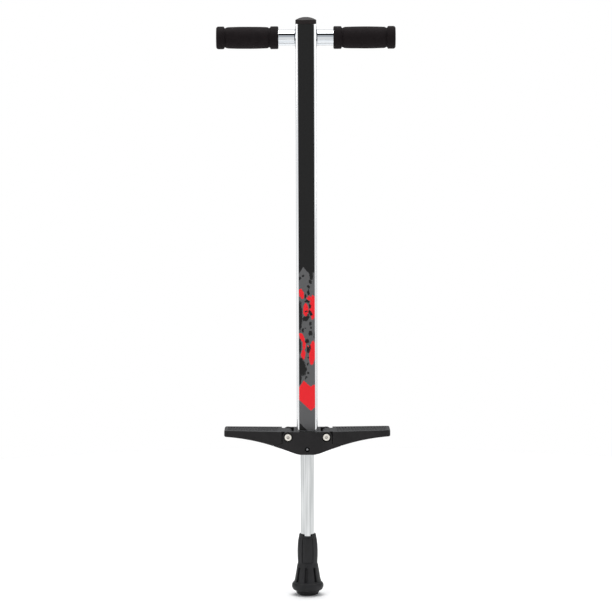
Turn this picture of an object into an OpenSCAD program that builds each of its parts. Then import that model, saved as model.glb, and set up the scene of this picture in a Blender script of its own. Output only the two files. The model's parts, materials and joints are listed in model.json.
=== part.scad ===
// Spring-loaded pogo stick: square main tube, sprung round shaft, two fold-up
// footrests and two pull-off foam handles.
// Origin at the centre of the sole, on the floor. +Z up, X along the handlebar,
// -Y is the side that carries the printed strip. Millimetres.

/* [Overall] */
// Height from the floor to the crown of the top cap
overall_h = 1040.4; // [900:0.4:1240]
// Width across the outer ends of the two grips
grip_span = 318.6; // [265:0.2:390]
// Width across the tips of the two footrests
pedal_span = 298; // [240:1:360]
// Height of the underside of the footrest bracket above the floor
bracket_bottom = 260.4; // [250:0.2:310]
// Front-to-back depth of the footrest bracket
bracket_depth = 66; // [56:1:76]

/* [Main tube] */
// Outer width and depth of the square tube
tube_w = 37.5; // [33:0.5:45]
// Wall of the square tube
tube_wall = 2; // [1.6:0.1:2.6]
// Outer corner radius of the square tube
tube_corner_r = 4.2; // [3:0.1:4.4]
// Thickness of the printed strip on the front face
decal_t = 0.3; // [0.2:0.05:0.5]
// Height of the straight skirt of the top cap
cap_skirt_h = 7.4; // [5:0.1:9]
// Rise of the domed crown above the skirt
cap_crown_h = 5.2; // [3:0.1:7]
// Depth of the cap's plug inside the tube
cap_plug_h = 8; // [5:0.5:9]

/* [Handlebar] */
// Distance from the crown of the cap down to the handlebar's axis
handle_drop = 36.5; // [36:0.5:60]
// Outer diameter of the welded cross tube
cross_d = 28; // [24:0.2:33.6]
// Wall of the cross tube
cross_wall = 1.4; // [1:0.1:2]
// Length of the cross tube, end to end
cross_len = 97; // [90:1:118]
// Wall of the handle tubes
handle_wall = 1.2; // [1:0.1:2]
// Length of each handle tube inside the cross tube
handle_insert = 45; // [41:0.5:45]
// Outer diameter of the rolls at the two ends of a grip
grip_flange_d = 40.4; // [38:0.2:48]
// Length of each end roll of a grip
grip_flange_len = 15; // [10:0.5:18]
// Diameter of a grip beside its end rolls
grip_waist_d = 35.6; // [35:0.2:38]
// Largest diameter of a grip's barrel
grip_barrel_d = 39.1; // [38:0.2:46]
// Thickness of a grip's closed outer end
grip_end_t = 3.2; // [2:0.1:5]

/* [Snap buttons] */
// Diameter of a snap button
button_d = 8; // [6:0.5:9]
// Height of a snap button above the cross tube
button_proud = 3; // [2:0.1:4]
// Distance of the buttons from the stick's axis
button_x = 32; // [30:0.5:38]

/* [Bracket and footrests] */
// Height of the bracket's flat top above its underside
bracket_h = 41.3; // [38:0.1:50]
// Wall of the bracket around the square tube
socket_wall = 5.1; // [4:0.1:8]
// Thickness of the bracket's floor under the tube
bracket_floor = 4; // [3:0.5:6]
// Thickness of the front and back cheeks that carry the pivots
cheek_t = 8; // [7:0.5:10]
// Radius of the footrests' hinge knuckles
knuckle_r = 9.2; // [8:0.1:11]
// Distance from the bracket's underside up to the hinge axes
pivot_rise = 31.5; // [29:0.5:38]
// Radius of the round ears about the hinge axes
ear_r = 10.2; // [9.5:0.1:12]
// Reach of the stop wings under the footrests, from the stick's axis
wing_reach = 60.5; // [56:0.5:80]
// Depth of a footrest at its tip
pedal_tip_depth = 56; // [46:1:60]
// Thickness of a footrest at its tip
pedal_tip_t = 11; // [9:0.5:14]
// Thickness of a footrest's deck
pedal_deck_t = 5; // [4:0.5:6]
// Thickness of a footrest's side and end walls
pedal_wall = 3.6; // [3:0.2:5]
// Diameter of the hinge bolts
pivot_d = 8; // [6:0.5:10]

/* [Shaft and spring] */
// Outer diameter of the sliding shaft
shaft_d = 25.4; // [21.2:0.1:30.5]
// Wall of the sliding shaft
shaft_wall = 1.8; // [1.4:0.1:3]
// Working travel of the shaft, until the spring is solid
travel = 130; // [110:1:140]
// Wire diameter of the main spring
wire_d = 4.6; // [3.8:0.1:5.5]
// Number of turns in the main spring
spring_turns = 36; // [24:1:40]
// Length of the lower guide bush
bush_len = 42; // [30:1:60]
// Height of the rebound bumper
bumper_h = 20; // [12:1:30]
// Distance from the stop pin to the top of the shaft
shaft_above_pin = 89.4; // [60:0.2:120]
// Height of the plunger head above the shaft
head_h = 15; // [10:1:20]
// Height of the plug that the spring pushes against
stop_h = 26; // [20:1:40]

/* [Rubber tip] */
// Height of the rubber tip
tip_h = 112; // [100:1:120]
// Diameter of the tip's bulging foot
foot_d = 57.4; // [50:0.2:61]
// Height of the widest part of the foot
foot_z = 16.8; // [15:0.2:18]
// Diameter of the bowl-shaped sole
sole_d = 42; // [36:0.2:46]
// Diameter of the flat middle of the sole
sole_flat_d = 28; // [24:0.5:34]
// Thickness of rubber under the shaft
tip_base = 30; // [20:1:40]
// Rubber wall at the collar, around the top edge
collar_wall = 2.4; // [2:0.1:4]
// Rubber wall at the fullest part of the sleeve
sleeve_wall = 5.9; // [4.5:0.1:7]

/* [Clearances] */
// Radial running clearance of shafts and pins in their bores
running = 0.08; // [0.02:0.01:0.1]
// Gap on each side of a piece fitted into another of the same body
fit_gap = 0.1; // [0.05:0.05:0.2]
// Gap between moving pieces that only pass each other
moving_gap = 0.3; // [0.2:0.05:0.5]
// Gap between a footrest and the bracket's ears
hinge_gap = 1.2; // [1:0.1:2]

/* [Hidden] */
$fn = 72;
eps = 0.01;
far = 2000;

// Main tube
tube_half = tube_w / 2;
inner_w = tube_w - 2 * tube_wall;
inner_r = max(tube_corner_r - tube_wall, 0.6);
tube_bottom = bracket_bottom + bracket_floor;
tube_top = overall_h - cap_crown_h - cap_skirt_h;
decal_w = tube_w - 2 * tube_corner_r - 0.4;
decal_bottom = bracket_bottom + bracket_h + 0.5;
cap_w = tube_w - 0.4;

// Handlebar
bar_z = overall_h - handle_drop;
cross_r = cross_d / 2;
cross_bore_r = cross_r - cross_wall;
handle_r = cross_bore_r - running;
handle_bore_r = handle_r - handle_wall;
grip_in_x = cross_len / 2 + moving_gap;
grip_out_x = grip_span / 2;
grip_crown = 1.2;
plug_flange_t = 1.5;
handle_in_x = cross_len / 2 - handle_insert;
handle_out_x = grip_out_x - grip_end_t - plug_flange_t;
weld_leg = 1.6;

// Snap buttons
button_r = button_d / 2;
button_gap = 0.15;
button_flange_r = button_r + 1.5;
button_flange_top = sqrt(pow(handle_bore_r, 2) - pow(button_flange_r, 2)) - moving_gap;
button_flange_t = 1.2;
button_dome = 1;
clip_w = 8;
clip_t = 0.8;

// Bracket and footrests
bracket_top = bracket_bottom + bracket_h;
bracket_half = bracket_depth / 2;
socket_half = tube_half + 0.15;
block_half = socket_half + socket_wall;
pivot_x = block_half + hinge_gap + knuckle_r;
pivot_z = bracket_bottom + pivot_rise;
ear_out_x = pivot_x + ear_r;
root_x = ear_out_x + hinge_gap;
bay_half = bracket_half - cheek_t;
belly_flat = shaft_d / 2 - 0.7;
pedal_tip_x = pedal_span / 2;
pedal_corner_r = 2.5;
pedal_plan_r = 6;
deck_root_z = bracket_top + 0.2;
deck_tip_z = bracket_top + 1.9;
pedal_low_z = deck_tip_z - pedal_tip_t;
wing_root_z = pivot_z - ear_r - hinge_gap;
wing_tip_z = wing_root_z - 3.2;
wing_gap = 0.15;
recess_r = 8.3;
recess_deep = 4.5;
washer_t = 1.5;
pivot_r = pivot_d / 2;
knuckle_half = bay_half - washer_t - 0.1;
bushing_wall = 1.5;
bushing_len = 12;
head_r = 6;
head_t = 4;
nut_t = 4.2;
nut_r = 7.2;
screw_r = 2.4;
screw_z = bracket_bottom + 9.2;
screw_recess_r = 4.5;
screw_recess_deep = 6;

// Shaft and spring, from the bottom up
shaft_r = shaft_d / 2;
shaft_bore_r = shaft_r - shaft_wall;
bush_top = tube_bottom + bush_len;
bumper_top = bush_top + bumper_h;
stop_washer_t = 3;
stop_pin_r = 3;
stop_pin_z = bumper_top + 0.1 + stop_washer_t + stop_pin_r;
shaft_bottom = tip_base + 2;
shaft_top = stop_pin_z + shaft_above_pin;
head_top = shaft_top + head_h;
head_w = inner_w - 2 * moving_gap;
spring_r = (inner_w - 3.4 - wire_d) / 2;
spring_len = spring_turns * wire_d + travel;
spring_bottom = head_top + moving_gap;
spring_top = spring_bottom + spring_len;
stop_bottom = spring_top + fit_gap;
stop_cross_z = stop_bottom + stop_h / 2;
cross_pin_r = 3;

// Rubber tip
foot_r = foot_d / 2;
sole_r = sole_d / 2;
foot_bulge_r = 9.5;
collar_r = shaft_r + collar_wall;
sleeve_r = shaft_r + sleeve_wall;
flare_top_z = 0.49 * tip_h;
flare_top_r = sleeve_r + 0.3;
sleeve_top_z = tip_h - 3;
panel_depth = 0.9;
panel_angle = 66;
notch_w = 15;
notch_deep = 3.6;
slot_count = 8;
slot_w = 4.6;
slot_deep = 4;
slot_turn = -8;

// Points of an arc about [cx, cy], in degrees, without its first point
function arc(cx, cy, r, from, to, steps) =
    [for (i = [1 : steps]) let (a = from + (to - from) * i / steps)
        [cx + r * cos(a), cy + r * sin(a)]];

// Points of a cubic curve, without its first point
function curve(a, b, c, d, steps) =
    [for (i = [1 : steps]) let (t = i / steps, s = 1 - t)
        s * s * s * a + 3 * s * s * t * b + 3 * s * t * t * c + t * t * t * d];

module rounded_square(w, r) {
    square([w, w - 2 * r], center = true);
    square([w - 2 * r, w], center = true);
    for (x = [-1, 1], y = [-1, 1])
        translate([x * (w / 2 - r), y * (w / 2 - r)])
            circle(r);
}

module square_bar(w, r, low, high)
    translate([0, 0, low])
        linear_extrude(high - low)
            rounded_square(w, r);

// Cylinder along +X from x = from to x = to, at height z
module bar_x(r, from, to, z)
    translate([from, 0, z])
        rotate([0, 90, 0])
            cylinder(r = r, h = to - from);

// Cylinder along +Y at [x, z]
module bar_y(r, from, to, x, z, sides = 72)
    translate([x, to, z])
        rotate([90, 0, 0])
            cylinder(r = r, h = to - from, $fn = sides);

// A flat outline in X and Z, given its depth along Y
module upright(half)
    translate([0, half, 0])
        rotate([90, 0, 0])
            linear_extrude(2 * half)
                children();

// ---- Main tube ----

module main_tube()
    color([0.82, 0.83, 0.85])
        difference() {
            square_bar(tube_w, tube_corner_r, tube_bottom, tube_top);
            square_bar(inner_w, inner_r, tube_bottom - 1, tube_top + 1);
            bar_x(cross_r + 0.05, -tube_w, tube_w, bar_z);
            bar_y(cross_pin_r + 0.02, -tube_w, tube_w, 0, stop_cross_z);
            bar_y(screw_r + 0.05, -tube_w, tube_w, 0, screw_z);
        }

module front_decal()
    color([0.1, 0.1, 0.1])
        translate([-decal_w / 2, -tube_half - decal_t, decal_bottom])
            cube([decal_w, decal_t, tube_top - 0.5 - decal_bottom]);

// A pillow-shaped crown: two shallow barrel arches meet on a rounded square
module top_cap() {
    half = cap_w / 2;
    dome_r = (half * half + cap_crown_h * cap_crown_h) / (2 * cap_crown_h);
    dome_z = overall_h - dome_r;
    color([0.09, 0.08, 0.08])
        difference() {
            union() {
                intersection() {
                    square_bar(cap_w, tube_corner_r, tube_top, overall_h + 1);
                    bar_y(dome_r, -tube_w, tube_w, 0, dome_z, 180);
                    translate([-tube_w, 0, dome_z])
                        rotate([0, 90, 0])
                            cylinder(r = dome_r, h = 2 * tube_w, $fn = 180);
                }
                square_bar(inner_w - 2 * fit_gap, inner_r, tube_top - cap_plug_h, tube_top + eps);
            }
            square_bar(inner_w - 5, inner_r, tube_top - cap_plug_h - 1, tube_top + 2);
        }
}

// ---- Handlebar ----

module cross_tube()
    color([0.85, 0.86, 0.87])
        difference() {
            union() {
                bar_x(cross_r, -cross_len / 2, cross_len / 2, bar_z);
                for (side = [0, 1])
                    mirror([side, 0, 0])
                        translate([tube_half + 0.02, 0, bar_z])
                            rotate([0, 90, 0])
                                cylinder(r1 = cross_r + weld_leg, r2 = cross_r, h = weld_leg);
            }
            bar_x(cross_bore_r, -cross_len, cross_len, bar_z);
            for (side = [-1, 1])
                bar_y(button_r + button_gap, 0, cross_d, side * button_x, bar_z);
        }

// Handle pieces are drawn on the +X side, and mirrored for the other
module on_side(side)
    mirror([side < 0 ? 1 : 0, 0, 0])
        children();

module handle_tube()
    difference() {
        bar_x(handle_r, handle_in_x, handle_out_x, bar_z);
        bar_x(handle_bore_r, handle_in_x - 1, handle_out_x + 1, bar_z);
        bar_y(button_r + button_gap, 0, cross_d, button_x, bar_z);
    }

module grip() {
    flange_r = grip_flange_d / 2;
    waist_r = grip_waist_d / 2;
    barrel_r = grip_barrel_d / 2;
    round_r = 1.8;
    len = grip_out_x - grip_in_x;
    barrel = len - 2 * grip_flange_len - 4;
    swell = barrel_r - waist_r;
    arc_r = (barrel * barrel / 4 + swell * swell) / (2 * swell);
    half_a = asin(barrel / 2 / arc_r);
    mid = len / 2;
    bore = handle_r + 0.05;
    translate([grip_in_x, 0, bar_z])
        rotate([0, 90, 0])
            difference() {
                rotate_extrude()
                    polygon(concat(
                        [[0, 0], [flange_r - round_r, 0]],
                        arc(flange_r - round_r, round_r, round_r, -90, 0, 5),
                        arc(flange_r - round_r, grip_flange_len - round_r, round_r, 0, 90, 5),
                        [[waist_r, grip_flange_len + 0.6], [waist_r, mid - barrel / 2]],
                        arc(barrel_r - arc_r, mid, arc_r, -half_a, half_a, 16),
                        [[waist_r, len - grip_flange_len - 0.6],
                         [flange_r - round_r, len - grip_flange_len]],
                        arc(flange_r - round_r, len - grip_flange_len + round_r, round_r, -90, 0, 5),
                        arc(flange_r - round_r, len - grip_crown - round_r, round_r, 0, 90, 5),
                        [[0.55 * flange_r, len - 0.3], [0, len]]
                    ));
                translate([0, 0, -1])
                    cylinder(r = bore, h = len - grip_end_t + 1);
                cylinder(r = 2.5, h = len + 1, $fn = 24);
            }
}

module grip_plug()
    difference() {
        union() {
            bar_x(handle_r, handle_out_x, handle_out_x + plug_flange_t - 0.02, bar_z);
            bar_x(handle_bore_r - 0.05, handle_out_x - 12, handle_out_x + eps, bar_z);
        }
        bar_x(handle_bore_r - 2.5, handle_out_x - 13, handle_out_x - 1, bar_z);
    }

// The button points along +Y, out of the back of the cross tube
module snap_button() {
    top = cross_r + button_proud;
    translate([button_x, 0, bar_z])
        rotate([-90, 0, 0])
            rotate_extrude()
                polygon(concat(
                    [[0, button_flange_top - button_flange_t],
                     [button_flange_r, button_flange_top - button_flange_t],
                     [button_flange_r, button_flange_top], [button_r, button_flange_top],
                     [button_r, top - button_dome]],
                    arc(button_r - button_dome, top - button_dome, button_dome, 0, 90, 6),
                    [[0, top]]
                ));
}

// A bent leaf: one leg lies under the button, the other on the far wall
module button_spring() {
    tip_y = button_flange_top - button_flange_t - 0.1;
    low_y = -sqrt(pow(handle_bore_r, 2) - pow(clip_w / 2, 2)) + moving_gap;
    bend_x = handle_in_x + 4;
    end_x = button_x + button_r;
    translate([0, 0, bar_z - clip_w / 2])
        linear_extrude(clip_w)
            polygon([
                [end_x, tip_y], [end_x - 9, tip_y], [bend_x, clip_t], [bend_x, -clip_t],
                [end_x - 5, low_y], [end_x, low_y], [end_x, low_y + clip_t],
                [end_x - 5, low_y + clip_t], [bend_x + 2 * clip_t, 0],
                [end_x - 9, tip_y - clip_t], [end_x, tip_y - clip_t]
            ]);
}

module left_handle_tube() color([0.84, 0.85, 0.86]) on_side(-1) handle_tube();
module right_handle_tube() color([0.84, 0.85, 0.86]) on_side(1) handle_tube();
module left_grip() color([0.13, 0.11, 0.11]) on_side(-1) grip();
module right_grip() color([0.13, 0.11, 0.11]) on_side(1) grip();
module left_grip_plug() color([0.2, 0.2, 0.2]) on_side(-1) grip_plug();
module right_grip_plug() color([0.2, 0.2, 0.2]) on_side(1) grip_plug();
module left_snap_button() color([0.8, 0.8, 0.8]) on_side(-1) snap_button();
module right_snap_button() color([0.8, 0.8, 0.8]) on_side(1) snap_button();
module left_button_spring() color([0.6, 0.6, 0.65]) on_side(-1) button_spring();
module right_button_spring() color([0.6, 0.6, 0.65]) on_side(1) button_spring();

// ---- Bracket and footrests ----

// Side view of bracket and footrest together, one side of the axis
module belly_outline() {
    low = [belly_flat, bracket_bottom];
    tip = [pedal_tip_x - pedal_corner_r, pedal_low_z];
    run = tip[0] - low[0];
    rise = tip[1] - low[1];
    c = pedal_corner_r;
    polygon(concat(
        [[0, bracket_bottom], low],
        curve(low, low + [0.105 * run, 0], low + [0.41 * run, 0.83 * rise], tip, 24),
        arc(pedal_tip_x - c, pedal_low_z + c, c, -90, 0, 5),
        arc(pedal_tip_x - c, deck_tip_z - c, c, 0, 90, 5),
        [[root_x, deck_root_z], [0, deck_root_z]]
    ));
}

module bracket_side() {
    intersection() {
        belly_outline();
        polygon([
            [0, 0], [wing_reach, 0], [wing_reach, wing_tip_z], [ear_out_x, wing_root_z],
            [ear_out_x, pivot_z], [pivot_x, bracket_top], [0, bracket_top]
        ]);
    }
    translate([pivot_x, pivot_z])
        circle(ear_r);
}

// Room for a footrest's knuckle between the two cheeks
module knuckle_bay() {
    bay_low = bracket_bottom + 0.26 * bracket_h;
    upright(bay_half)
        polygon([
            [block_half, far], [block_half, bay_low],
            [ear_out_x, wing_root_z - 0.4], [ear_out_x, far]
        ]);
}

module pedal_bracket()
    color([0.15, 0.15, 0.15])
        difference() {
            union()
                for (side = [-1, 1])
                    on_side(side)
                        upright(bracket_half)
                            bracket_side();
            square_bar(2 * socket_half, tube_corner_r, tube_bottom, far);
            translate([0, 0, bracket_bottom - 1])
                cylinder(r = shaft_r + 0.6, h = bracket_floor + 2);
            for (side = [-1, 1])
                on_side(side) {
                    knuckle_bay();
                    bar_y(pivot_r + 0.05, -bracket_depth, bracket_depth, pivot_x, pivot_z);
                    bar_y(recess_r, -bracket_depth, -bracket_half + recess_deep, pivot_x, pivot_z);
                    bar_y(recess_r, bracket_half - recess_deep, bracket_depth, pivot_x, pivot_z);
                }
            bar_y(screw_r + 0.05, -bracket_depth, bracket_depth, 0, screw_z);
            bar_y(screw_recess_r, -bracket_depth, -bracket_half + screw_recess_deep, 0, screw_z);
            bar_y(screw_recess_r, bracket_half - screw_recess_deep, bracket_depth, 0, screw_z);
        }

// One screw in front and one behind, through the tube into the guide bush
module bracket_screws()
    color([0.75, 0.75, 0.77])
        for (back = [0, 1])
            mirror([0, back, 0]) {
                seat = -bracket_half + screw_recess_deep;
                difference() {
                    union() {
                        bar_y(screw_r, seat - eps, -shaft_r - running - 0.5, 0, screw_z);
                        bar_y(3.6, seat - 2.6, seat, 0, screw_z);
                    }
                    bar_y(1.6, seat - 3, seat - 1.2, 0, screw_z, 6);
                }
            }

// Plan of a footrest: full depth at its root, narrower at its rounded tip
module pedal_plan(inset) {
    root_half = bracket_half - inset;
    tip_half = pedal_tip_depth / 2 - inset;
    end_x = pedal_tip_x - inset;
    r = max(pedal_plan_r - inset, 0.8);
    polygon(concat(
        [[root_x + inset, -root_half]],
        arc(end_x - r, -tip_half + r, r, -90, 0, 8),
        arc(end_x - r, tip_half - r, r, 0, 90, 8),
        [[root_x + inset, root_half]]
    ));
}

module pedal_side()
    intersection() {
        belly_outline();
        polygon([
            [root_x, far], [root_x, wing_root_z + wing_gap],
            [wing_reach + 0.8, wing_tip_z + wing_gap], [wing_reach + 0.8, 0],
            [far, 0], [far, far]
        ]);
    }

// Hollow underside: cells between a lengthwise rib and four cross ribs
module pedal_cells() {
    rib = 2.4;
    cell_run = pedal_tip_x - root_x;
    difference() {
        intersection() {
            upright(bracket_half)
                polygon([
                    [root_x, 0], [pedal_tip_x, 0], [pedal_tip_x, deck_tip_z - pedal_deck_t],
                    [root_x, deck_root_z - pedal_deck_t]
                ]);
            linear_extrude(overall_h)
                pedal_plan(pedal_wall);
        }
        translate([0, -rib / 2, 0])
            cube([pedal_span, rib, overall_h]);
        for (i = [1 : 4])
            translate([root_x + i * cell_run / 5, -bracket_depth, 0])
                cube([rib, 2 * bracket_depth, overall_h]);
    }
}

// Shallow grooves that cross to leave rows of square studs on the deck
module tread_grooves() {
    deep = 1;
    groove = 1.4;
    margin = 7;
    pitch = 5.2;
    from = root_x + margin;
    to = pedal_tip_x - margin;
    half = pedal_tip_depth / 2 - margin + 2;
    columns = floor((to - from) / pitch);
    rows = floor(half / pitch);
    tilt = atan((deck_tip_z - deck_root_z) / (pedal_tip_x - root_x));
    translate([root_x, 0, deck_root_z])
        rotate([0, -tilt, 0]) {
            for (i = [0 : columns])
                translate([margin + i * pitch, -half, -deep])
                    cube([groove, 2 * half, deep + 2]);
            for (j = [-rows : rows])
                translate([margin, j * pitch - groove / 2, -deep])
                    cube([to - from, groove, deep + 2]);
        }
}

module pedal() {
    bushing_r = pivot_r + bushing_wall;
    difference() {
        union() {
            intersection() {
                upright(bracket_half)
                    pedal_side();
                linear_extrude(overall_h)
                    pedal_plan(0);
            }
            bar_y(knuckle_r, -knuckle_half, knuckle_half, pivot_x, pivot_z);
            translate([pivot_x, -knuckle_half, pivot_z - knuckle_r])
                cube([root_x + pedal_wall - pivot_x, 2 * knuckle_half, 2 * knuckle_r]);
        }
        pedal_cells();
        tread_grooves();
        bar_y(pivot_r + 0.6, -bracket_half, bracket_half, pivot_x, pivot_z);
        for (back = [0, 1])
            mirror([0, back, 0])
                bar_y(bushing_r, knuckle_half - bushing_len, bracket_half, pivot_x, pivot_z);
    }
}

module pedal_bushings()
    for (back = [0, 1])
        mirror([0, back, 0])
            difference() {
                bar_y(pivot_r + bushing_wall - 0.02, knuckle_half - bushing_len + 0.05,
                    knuckle_half, pivot_x, pivot_z);
                bar_y(pivot_r + running, 0, bracket_depth, pivot_x, pivot_z);
            }

module pivot_bolt()
    difference() {
        seat = -bracket_half + recess_deep;
        union() {
            bar_y(pivot_r, seat - eps, bracket_half - recess_deep + nut_t + 0.2, pivot_x, pivot_z);
            bar_y(head_r, seat - head_t, seat, pivot_x, pivot_z);
        }
        bar_y(2.9, seat - head_t - 1, seat - head_t + 2.6, pivot_x, pivot_z, 6);
    }

module pivot_nut() {
    seat = bracket_half - recess_deep;
    difference() {
        bar_y(nut_r, seat, seat + nut_t, pivot_x, pivot_z, 6);
        bar_y(pivot_r + 0.02, seat - 1, seat + nut_t + 1, pivot_x, pivot_z);
    }
}

module left_pedal() color([0.16, 0.16, 0.16]) on_side(-1) pedal();
module right_pedal() color([0.16, 0.16, 0.16]) on_side(1) pedal();
module left_pedal_bushings() color([0.85, 0.85, 0.8]) on_side(-1) pedal_bushings();
module right_pedal_bushings() color([0.85, 0.85, 0.8]) on_side(1) pedal_bushings();
module left_pivot_bolt() color([0.8, 0.78, 0.72]) on_side(-1) pivot_bolt();
module right_pivot_bolt() color([0.8, 0.78, 0.72]) on_side(1) pivot_bolt();
module left_pivot_nut() color([0.7, 0.7, 0.72]) on_side(-1) pivot_nut();
module right_pivot_nut() color([0.7, 0.7, 0.72]) on_side(1) pivot_nut();

// Thin washers between the cheeks and the knuckles, two on each hinge
module pivot_washers()
    color([0.9, 0.9, 0.88])
        for (side = [-1, 1], back = [0, 1])
            on_side(side)
                mirror([0, back, 0])
                    difference() {
                        bar_y(knuckle_r - 0.6, bay_half - washer_t, bay_half, pivot_x, pivot_z);
                        bar_y(pivot_r + 0.05, 0, bracket_depth, pivot_x, pivot_z);
                    }

// ---- Inside the tube ----

module lower_guide_bush()
    color([0.9, 0.9, 0.88])
        difference() {
            square_bar(inner_w - 2 * fit_gap, inner_r, tube_bottom, bush_top);
            translate([0, 0, tube_bottom - 1])
                cylinder(r = shaft_r + running, h = bush_len + 2);
            for (back = [0, 1])
                mirror([0, back, 0])
                    bar_y(screw_r + 0.05, -tube_w, -shaft_r - running - 0.4, 0, screw_z);
        }

module rebound_bumper()
    color([0.25, 0.25, 0.27])
        translate([0, 0, bush_top])
            difference() {
                cylinder(r = inner_w / 2 - 1.2, h = bumper_h);
                translate([0, 0, -1])
                    cylinder(r = shaft_r + moving_gap, h = bumper_h + 2);
            }

// A coil of plain wire: rings of points follow a rising circle
module main_spring() {
    sides = 6;
    steps = 12;
    rings = steps * spring_turns;
    climb = (spring_len - wire_d) / rings;
    low_z = spring_bottom + wire_d / 2;
    // A six-sided section with the same area as the round wire
    wire_r = wire_d / 2 * sqrt(2 * PI / (sides * sin(360 / sides)));
    points = [
        for (k = [0 : rings], s = [0 : sides - 1])
            let (turn = 360 * k / steps, a = 360 * s / sides,
                 reach = spring_r + wire_r * cos(a))
                [reach * cos(turn), reach * sin(turn), low_z + k * climb + wire_r * sin(a)]
    ];
    skin = [
        for (k = [0 : rings - 1], s = [0 : sides - 1])
            let (here = k * sides, next = (s + 1) % sides)
                [here + s, here + next, here + sides + next, here + sides + s]
    ];
    ends = [
        [for (s = [sides - 1 : -1 : 0]) s],
        [for (s = [0 : sides - 1]) rings * sides + s]
    ];
    color([0.55, 0.57, 0.6])
        polyhedron(points, concat(skin, ends), convexity = 20);
}

module spring_stop()
    color([0.7, 0.7, 0.72])
        difference() {
            square_bar(inner_w - 2 * fit_gap, inner_r, stop_bottom, stop_bottom + stop_h);
            bar_y(cross_pin_r + 0.02, -tube_w, tube_w, 0, stop_cross_z);
        }

// The cross pin is flush with the tube, and the strip covers its front end
module spring_stop_pin()
    color([0.75, 0.75, 0.77])
        bar_y(cross_pin_r, -tube_half, tube_half, 0, stop_cross_z);

module shaft()
    color([0.85, 0.86, 0.86])
        difference() {
            translate([0, 0, shaft_bottom])
                cylinder(r = shaft_r, h = shaft_top - shaft_bottom);
            translate([0, 0, shaft_bottom - 1])
                cylinder(r = shaft_bore_r, h = shaft_top - shaft_bottom + 2);
            bar_x(stop_pin_r + 0.02, -tube_w, tube_w, stop_pin_z);
        }

module plunger_head()
    color([0.9, 0.9, 0.88]) {
        square_bar(head_w, inner_r, shaft_top, head_top);
        translate([0, 0, shaft_top - 20])
            cylinder(r = shaft_bore_r - 0.05, h = 20 + eps);
    }

module stop_washer()
    color([0.7, 0.7, 0.72])
        translate([0, 0, stop_pin_z - stop_pin_r - stop_washer_t])
            difference() {
                cylinder(r = inner_w / 2 - 0.5, h = stop_washer_t);
                translate([0, 0, -1])
                    cylinder(r = shaft_r + 0.05, h = stop_washer_t + 2);
            }

module stop_pin()
    color([0.6, 0.6, 0.62])
        bar_x(stop_pin_r, -inner_w / 2 + 1, inner_w / 2 - 1, stop_pin_z);

// ---- Rubber tip ----

// Outline of the sleeve above the flare, from the waist to the collar's edge
function sleeve_points(inset) =
    concat(
        [[sleeve_r - 0.9 - inset, flare_top_z + 5]],
        curve([sleeve_r - 0.9 - inset, flare_top_z + 5], [sleeve_r + 0.3 - inset, 0.67 * tip_h],
            [sleeve_r + 0.1 - inset, 0.83 * tip_h], [collar_r + 0.9 - inset, sleeve_top_z - 3], 10)
    );

module tip_body()
    rotate_extrude($fn = 96)
        polygon(concat(
            [[0, 0], [sole_flat_d / 2, 0]],
            curve([sole_flat_d / 2, 0], [sole_r - 3.5, 0], [sole_r - 0.8, 0.16 * foot_z],
                [sole_r, 0.42 * foot_z], 8),
            [[sole_r + 0.8, 0.47 * foot_z]],
            arc(foot_r - foot_bulge_r, foot_z, foot_bulge_r, -52, 50, 12),
            [[foot_r - 4.6, foot_z + 9.6], [foot_r - 5.3, foot_z + 11.6],
             [flare_top_r, flare_top_z], [sleeve_r - 0.5, flare_top_z + 2.4]],
            sleeve_points(0),
            [[collar_r + 0.5, sleeve_top_z]],
            arc(collar_r - 1, tip_h - 1, 1, 0, 90, 4),
            [[0, tip_h]]
        ));

// Four shallow panels around the sleeve
module tip_panels()
    for (i = [0 : 3])
        rotate([0, 0, 90 * i - 90 - panel_angle / 2])
            rotate_extrude(angle = panel_angle, $fn = 96)
                polygon(concat(
                    sleeve_points(panel_depth),
                    [[collar_r + 8, sleeve_top_z - 3], [collar_r + 8, flare_top_z + 5]]
                ));

// Eight blind slots down the flare, each parallel to its slope
module tip_slots() {
    low_r = foot_r - 5.3;
    low_z = foot_z + 8;
    high_z = 0.455 * tip_h;
    run = flare_top_z - foot_z - 11.6;
    lean = atan((low_r - flare_top_r) / run);
    long = (high_z - low_z) / cos(lean);
    for (i = [0 : slot_count - 1])
        rotate([0, 0, slot_turn + i * 360 / slot_count - 90])
            translate([low_r + (foot_z + 11.6 - low_z) * tan(lean) - slot_deep, 0, low_z])
                rotate([0, -lean, 0]) {
                    translate([0, -slot_w / 2, 0])
                        cube([2 * slot_deep + 4, slot_w, long - slot_w / 2]);
                    translate([0, 0, long - slot_w / 2])
                        rotate([0, 90, 0])
                            cylinder(d = slot_w, h = 2 * slot_deep + 4);
                }
}

module rubber_tip()
    color([0.14, 0.14, 0.15])
        difference() {
            tip_body();
            tip_panels();
            tip_slots();
            translate([-notch_w / 2, -foot_d, tip_h - notch_deep])
                cube([notch_w, 2 * foot_d, notch_deep + 1]);
            translate([0, 0, tip_base])
                cylinder(r = shaft_r, h = tip_h);
        }

module tip_washer()
    color([0.7, 0.7, 0.72])
        translate([0, 0, tip_base])
            cylinder(r = shaft_r - 0.2, h = shaft_bottom - tip_base);

main_tube();
front_decal();
top_cap();
cross_tube();
left_handle_tube();
right_handle_tube();
left_grip();
right_grip();
left_grip_plug();
right_grip_plug();
left_snap_button();
right_snap_button();
left_button_spring();
right_button_spring();
pedal_bracket();
bracket_screws();
left_pedal();
right_pedal();
left_pedal_bushings();
right_pedal_bushings();
left_pivot_bolt();
right_pivot_bolt();
left_pivot_nut();
right_pivot_nut();
pivot_washers();
lower_guide_bush();
rebound_bumper();
main_spring();
spring_stop();
spring_stop_pin();
shaft();
plunger_head();
stop_washer();
stop_pin();
rubber_tip();
tip_washer();
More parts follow.
